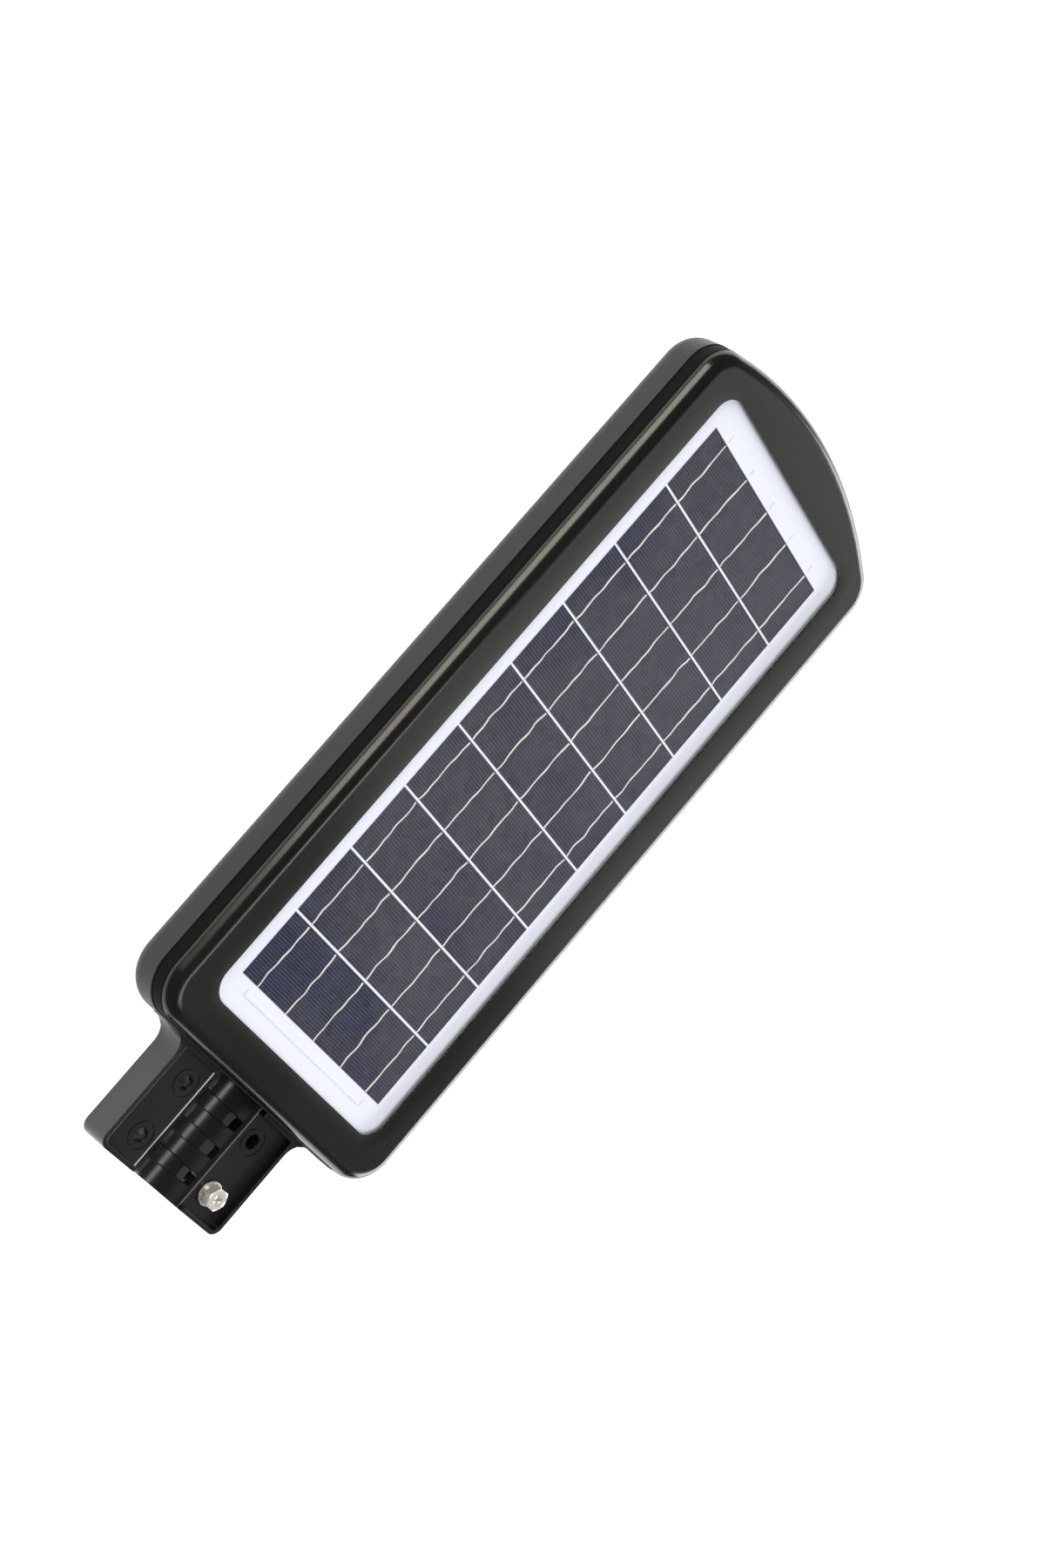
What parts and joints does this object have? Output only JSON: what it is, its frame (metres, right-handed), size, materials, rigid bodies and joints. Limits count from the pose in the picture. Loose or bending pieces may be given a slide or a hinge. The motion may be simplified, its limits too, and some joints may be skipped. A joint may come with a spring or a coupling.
{
  "type": "solar street lamp",
  "caption": "Flat sealed solar street lamp with a long panel on top, a light window and motion sensor underneath, and a short grooved arm that clamps along a pole.",
  "frame": {"origin": "on the pole's axis, at the middle of the arm's seat", "axes": "+Y runs along the body from the arm to the tip, +Z is the solar panel's normal, +X follows"},
  "size_m": [0.2392, 0.5881, 0.0517],
  "materials": {
    "cover_plastic": "satin black moulded plastic",
    "housing_plastic": "satin dark grey moulded plastic",
    "arm_plastic": "semi-gloss black moulded plastic",
    "seal_rubber": "soft matte rubber",
    "panel_glass": "clear tempered glass",
    "solar_silicon": "dark violet-blue silicon",
    "ribbon_tin": "tinned copper ribbon",
    "white_laminate": "white laminate",
    "clear_film": "clear laminating film",
    "black_plastic": "black plastic",
    "tray_plastic": "blue-grey plastic",
    "battery_sleeve": "blue shrink sleeve",
    "nickel": "nickel-plated steel",
    "circuit_green": "green solder mask",
    "plug_ivory": "ivory plug",
    "coil_dark": "ferrite and copper",
    "red_wire": "red insulated wire",
    "black_wire": "black insulated wire",
    "white_wire": "white insulated wire",
    "white_plastic": "white plastic",
    "dome_plastic": "milky white dome",
    "receiver_plastic": "dark red plastic",
    "light_pipe": "clear light pipe",
    "switch_metal": "plated metal",
    "board_white": "white-masked aluminium board",
    "phosphor": "yellow phosphor",
    "lens_clear": "clear polycarbonate",
    "screw_steel": "zinc-plated steel",
    "bolt_steel": "bright nickel-plated steel"
  },
  "bodies": {
    "lamp": {"top_cover": "cover_plastic", "lower_housing": "housing_plastic", "housing_gasket": "seal_rubber", "pole_arm": "arm_plastic", "panel_glass": "panel_glass", "solar_cells": "solar_silicon", "cell_ribbons": "ribbon_tin", "end_ribbons": "ribbon_tin", "encapsulant": "clear_film", "panel_backboard": "white_laminate", "panel_bead": "seal_rubber", "panel_terminal": "black_plastic", "panel_lead": "black_wire", "battery_tray": "tray_plastic", "battery_cells": "battery_sleeve", "battery_tabs": "nickel", "battery_strap": "black_plastic", "battery_strap_screws": "screw_steel", "protection_board": "circuit_green", "battery_lead": "red_wire", "controller_board": "circuit_green", "controller_chips": "black_plastic", "controller_coils": "coil_dark", "controller_plugs": "plug_ivory", "board_screws": "screw_steel", "sensor_board": "circuit_green", "sensor_can": "nickel", "sensor_dome": "dome_plastic", "remote_receiver": "receiver_plastic", "indicator_light": "light_pipe", "power_switch": "switch_metal", "switch_seal": "seal_rubber", "switch_nut": "switch_metal", "switch_lead": "black_wire", "vent_plug": "black_plastic", "led_board": "board_white", "led_emitters": "phosphor", "led_board_screws": "screw_steel", "led_reflector": "white_plastic", "led_lead": "white_wire", "lens_gasket": "seal_rubber", "lens_cover": "lens_clear", "lens_screws": "screw_steel", "cover_screws": "screw_steel", "arm_screws": "screw_steel", "flat_washer": "bolt_steel", "clamp_nut": "bolt_steel"},
    "button": {"power_button": "black_plastic"},
    "bolt_carrier": {"spring_washer": "bolt_steel"},
    "bolt": {"clamp_bolt": "bolt_steel"}
  },
  "joints": [
    {"name": "button_press", "type": "slide", "parent": "lamp", "child": "button", "axis": [0, 0, 1], "range_m": [0, 0.0015], "stiffness_N_per_m": 500, "springref_m": -0.002},
    {"name": "bolt_travel", "type": "slide", "parent": "lamp", "child": "bolt_carrier", "axis": [0, 0, 1], "range_m": [0, 0.00501]},
    {"name": "bolt_turn", "type": "hinge", "parent": "bolt_carrier", "child": "bolt", "pos_m": [0.0368, -0.019, 0], "axis": [0, 0, 1], "range_deg": [0, 1440]}
  ],
  "couplings": [
    {"joint": "bolt_travel", "follows": "bolt_turn", "m_per_rad": 0.00019894}
  ]
}
